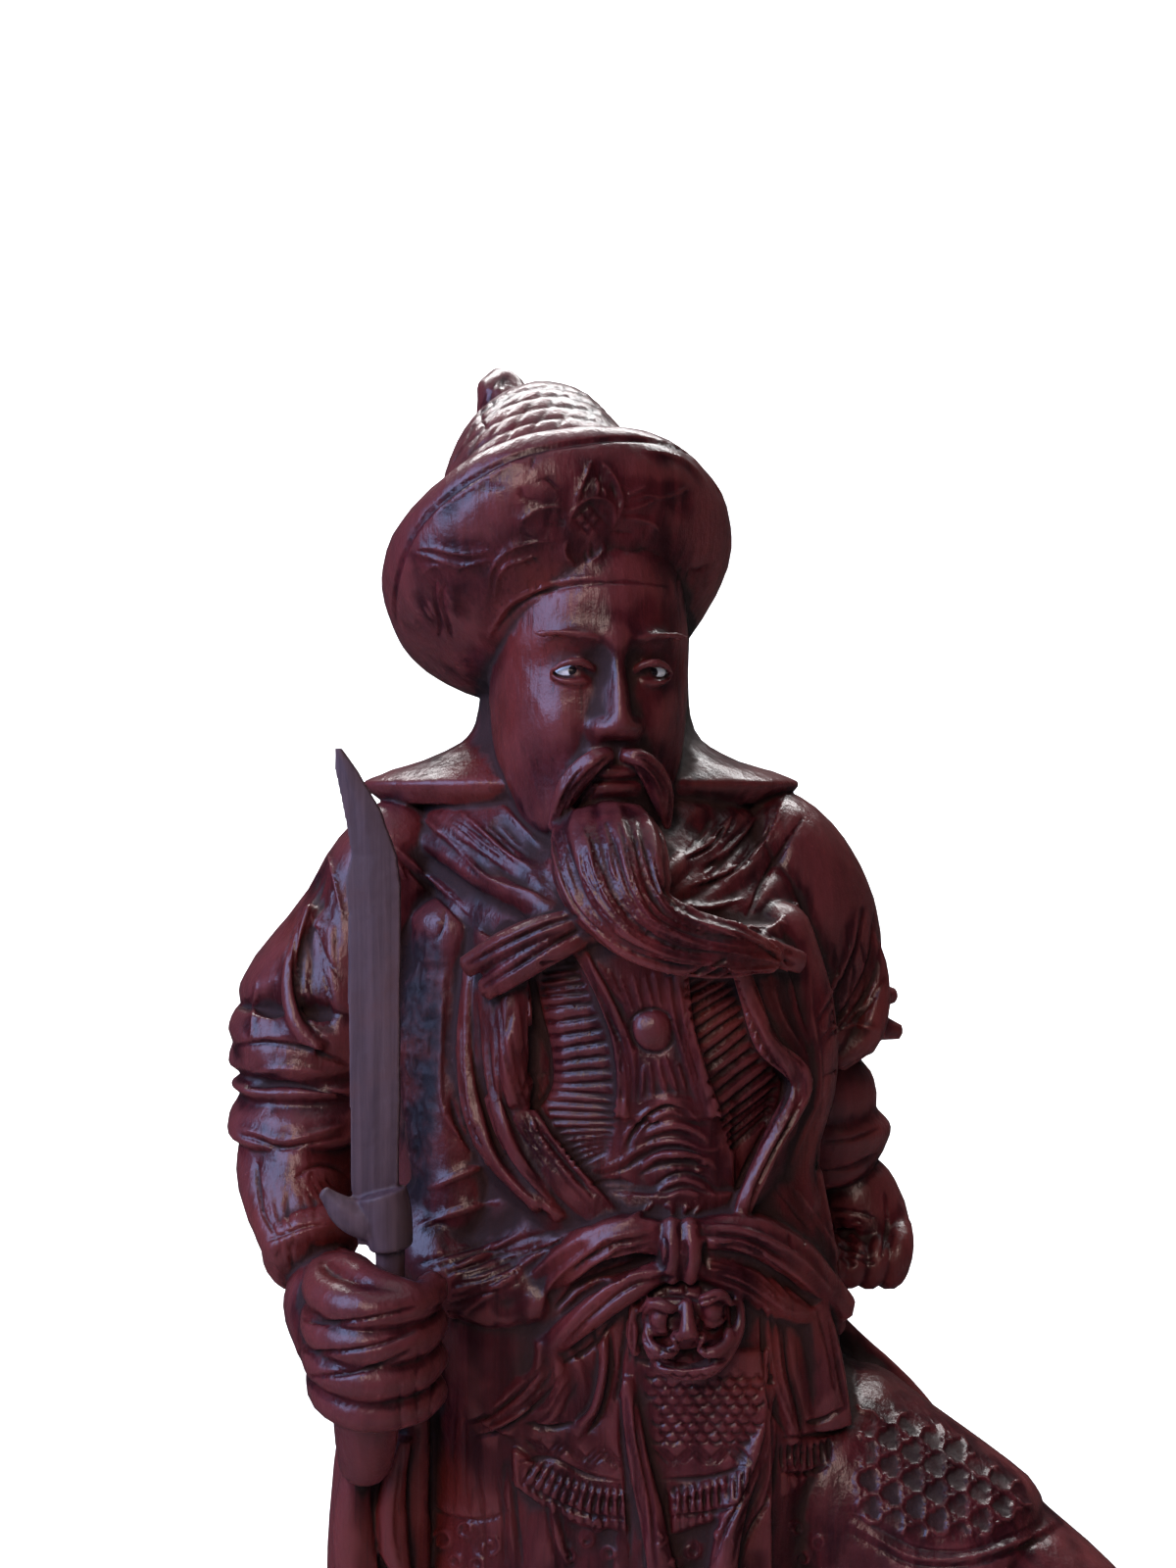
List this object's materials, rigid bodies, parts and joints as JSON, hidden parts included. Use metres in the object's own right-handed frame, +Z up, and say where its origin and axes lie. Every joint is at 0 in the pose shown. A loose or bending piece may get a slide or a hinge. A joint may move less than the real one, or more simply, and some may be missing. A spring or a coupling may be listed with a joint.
{
  "type": "carved wooden warrior figure",
  "caption": "Standing warrior carved in dark polished hardwood on a low rocky base, one foot raised, holding an upright wooden sabre in the right fist.",
  "frame": {"origin": "middle of the base's flat underside", "axes": "+Z up, -Y the way the figure faces, +X towards the figure's left hand"},
  "size_m": [0.37, 0.2144, 0.6902],
  "materials": {
    "hardwood": "dark red-brown polished hardwood, worn lighter on the edges, with grime in the cuts",
    "sabre_wood": "grey-brown matt wood",
    "eye_inlay": "glossy white with a dark painted pupil"
  },
  "bodies": {
    "root": {"warrior": "hardwood", "sabre": "sabre_wood", "right_eye": "eye_inlay", "left_eye": "eye_inlay"}
  },
  "joints": []
}
